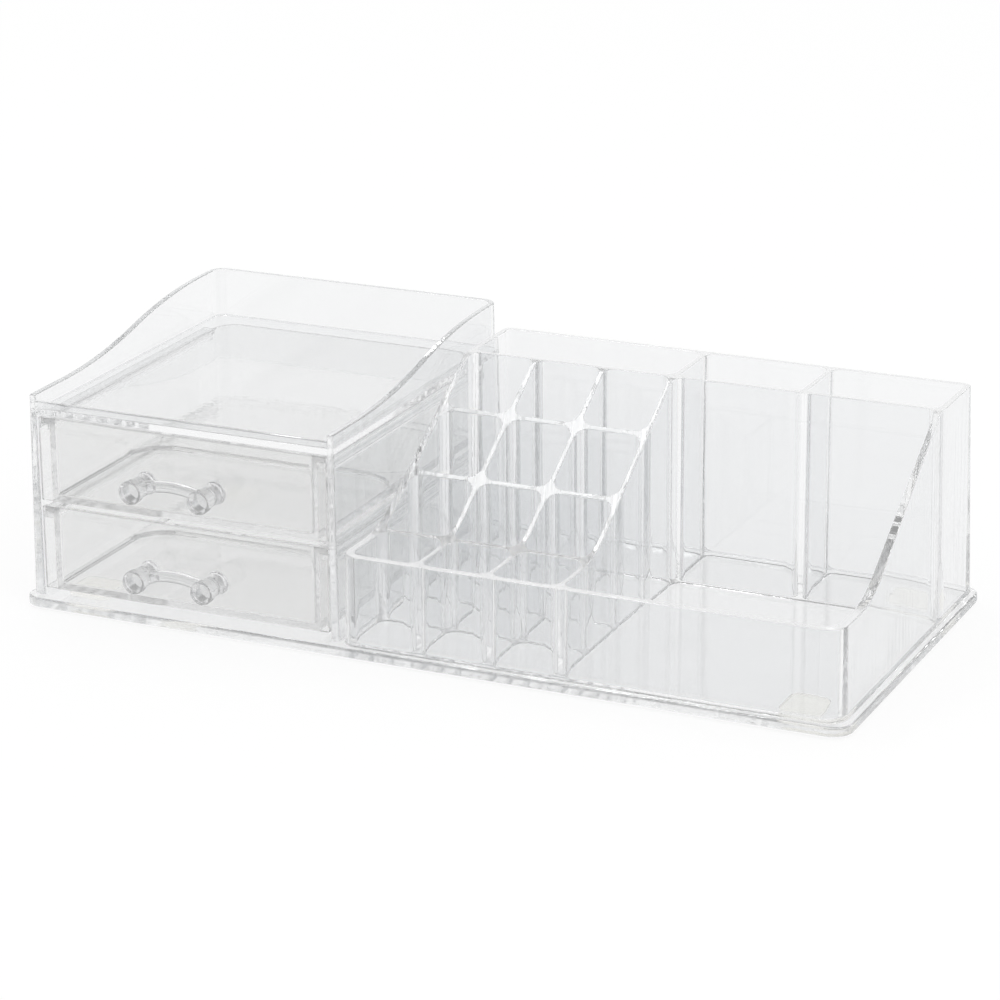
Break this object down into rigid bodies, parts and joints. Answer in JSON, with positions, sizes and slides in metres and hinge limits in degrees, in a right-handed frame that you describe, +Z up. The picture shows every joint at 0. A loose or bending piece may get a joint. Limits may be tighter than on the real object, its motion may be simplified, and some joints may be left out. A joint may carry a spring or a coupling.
{
  "type": "makeup organizer with drawers",
  "caption": "Clear countertop makeup organizer: stacked pull-out drawers under a tray, a stepped lipstick rack, rear compartments and an open tray.",
  "frame": {"origin": "middle of the whole object's width and depth, handles included, on the surface the foot pads stand on", "axes": "+X to the right, +Y to the back, away from the drawer fronts, +Z up"},
  "size_m": [0.3096, 0.152, 0.0907],
  "materials": {
    "clear_body": "clear, polished",
    "clear_drawer": "clear, polished",
    "clear_handle": "clear, polished",
    "foot_pad": "clear soft pad, slightly yellowish"
  },
  "bodies": {
    "organizer": {"base_plate": "clear_body", "foot_pad_front_left": "foot_pad", "foot_pad_rear_left": "foot_pad", "foot_pad_front_right": "foot_pad", "foot_pad_rear_right": "foot_pad", "front_wall": "clear_body", "right_wall": "clear_body", "back_wall": "clear_body", "rack_left_wall": "clear_body", "lipstick_divider_1": "clear_body", "lipstick_divider_2": "clear_body", "lipstick_divider_3": "clear_body", "lipstick_cross_walls_1": "clear_body", "lipstick_cross_walls_2": "clear_body", "lipstick_cross_walls_3": "clear_body", "rear_partition": "clear_body", "rear_divider_1": "clear_body", "rear_divider_2": "clear_body", "case_left_wall": "clear_body", "case_right_wall": "clear_body", "case_back_wall": "clear_body", "tray_floor": "clear_body", "lower_left_runner": "clear_body", "lower_right_runner": "clear_body", "upper_left_runner": "clear_body", "upper_right_runner": "clear_body"},
    "upper_drawer": {"upper_drawer_front": "clear_drawer", "upper_drawer_box": "clear_drawer", "upper_drawer_handle": "clear_handle"},
    "lower_drawer": {"lower_drawer_front": "clear_drawer", "lower_drawer_box": "clear_drawer", "lower_drawer_handle": "clear_handle"}
  },
  "joints": [
    {"name": "upper_drawer_slide", "type": "slide", "parent": "organizer", "child": "upper_drawer", "axis": [0, -1, 0], "range_m": [0, 0.095]},
    {"name": "lower_drawer_slide", "type": "slide", "parent": "organizer", "child": "lower_drawer", "axis": [0, -1, 0], "range_m": [0, 0.095]}
  ]
}
